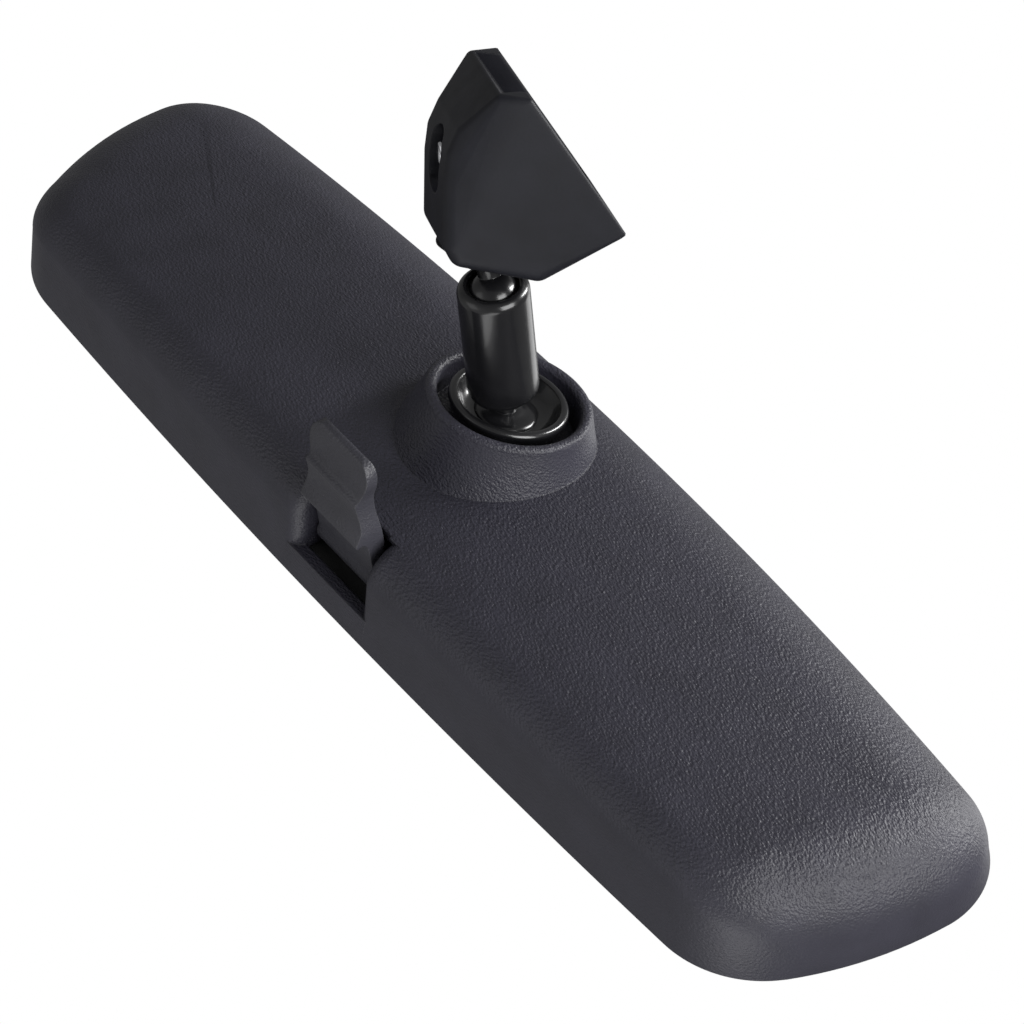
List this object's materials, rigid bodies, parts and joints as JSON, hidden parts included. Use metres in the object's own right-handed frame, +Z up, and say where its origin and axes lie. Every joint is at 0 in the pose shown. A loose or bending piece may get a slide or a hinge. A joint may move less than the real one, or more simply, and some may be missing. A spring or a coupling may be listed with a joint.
{
  "type": "interior rearview mirror",
  "caption": "Interior rearview mirror: windshield foot and ball-jointed arm holding a prismatic glass in a case that a flip lever tips between day and night.",
  "frame": {"origin": "middle of the mouth of the foot's windshield-button channel, in the plane of the face that meets the windshield", "axes": "+X across the vehicle along the case's long axis, +Y forward (from the glass towards the windshield), +Z up; the glass faces -Y"},
  "size_m": [0.25, 0.1008, 0.0706],
  "materials": {
    "case_plastic": "fine grained charcoal",
    "lever_plastic": "fine grained charcoal",
    "foot_paint": "semi-matte black",
    "gloss_black": "gloss black",
    "dish_black": "gloss black",
    "acetal_black": "satin black",
    "nylon": "natural",
    "spring_steel": "bright drawn",
    "plated_steel": "zinc plated",
    "clear_glass": "polished",
    "silvering": "mirror",
    "pad_foam": "closed-cell foam"
  },
  "bodies": {
    "foot": {"mount_foot": "foot_paint", "button_retainer_spring": "spring_steel", "foot_ball_stud": "gloss_black"},
    "upper_liner": {"upper_ball_liner": "acetal_black"},
    "arm": {"arm_tube": "gloss_black", "upper_ball_seat": "nylon", "arm_spring": "spring_steel", "spring_washer": "plated_steel"},
    "lower_seat": {"lower_ball_seat": "nylon"},
    "lower_liner": {"lower_ball_liner": "acetal_black"},
    "carrier": {"head_ball_stud": "gloss_black", "stud_dish": "dish_black", "pivot_plate": "plated_steel", "stud_washer": "plated_steel", "stud_screw": "plated_steel", "toggle_spring": "spring_steel", "toggle_spring_rivets": "plated_steel"},
    "case": {"mirror_case": "case_plastic", "mirror_glass": "clear_glass", "reflective_coating": "silvering", "glass_backing_pad": "pad_foam", "tilt_pivot_pin": "plated_steel", "pivot_pin_clips": "spring_steel", "lever_pin": "plated_steel"},
    "lever": {"flip_lever": "lever_plastic", "toggle_crank_pin": "plated_steel"}
  },
  "joints": [
    {"name": "arm_swing", "type": "hinge", "parent": "foot", "child": "upper_liner", "pos_m": [-0.00348, -0.02608, -0.01739], "axis": [-0.3672, 0.0877, 0.926], "range_deg": [-47.2, 12.8]},
    {"name": "arm_tilt", "type": "hinge", "parent": "upper_liner", "child": "arm", "pos_m": [-0.00348, -0.02608, -0.01739], "axis": [-0.9248, 0.072, -0.3735], "range_deg": [-12, 10]},
    {"name": "arm_roll", "type": "hinge", "parent": "arm", "child": "lower_seat", "pos_m": [-0.0053, -0.04578, -0.01666], "axis": [0.0923, 0.9951, -0.0366], "continuous": true},
    {"name": "head_tilt", "type": "hinge", "parent": "lower_seat", "child": "lower_liner", "pos_m": [-0.0053, -0.04578, -0.01666], "axis": [1, 0, 0], "range_deg": [-20, 20]},
    {"name": "head_pan", "type": "hinge", "parent": "lower_liner", "child": "carrier", "pos_m": [-0.0053, -0.04578, -0.01666], "axis": [0, 0, 1], "range_deg": [-20, 20]},
    {"name": "day_night_tilt", "type": "hinge", "parent": "carrier", "child": "case", "pos_m": [-0.0053, -0.07158, -0.00276], "axis": [-1, 0, 0], "range_deg": [0, 4.5]},
    {"name": "lever_flip", "type": "hinge", "parent": "case", "child": "lever", "pos_m": [-0.0053, -0.07218, -0.04936], "axis": [-1, 0, 0], "range_deg": [0, 36]}
  ],
  "couplings": [
    {"joint": "lever_flip", "follows": "day_night_tilt", "ratio": 8}
  ]
}
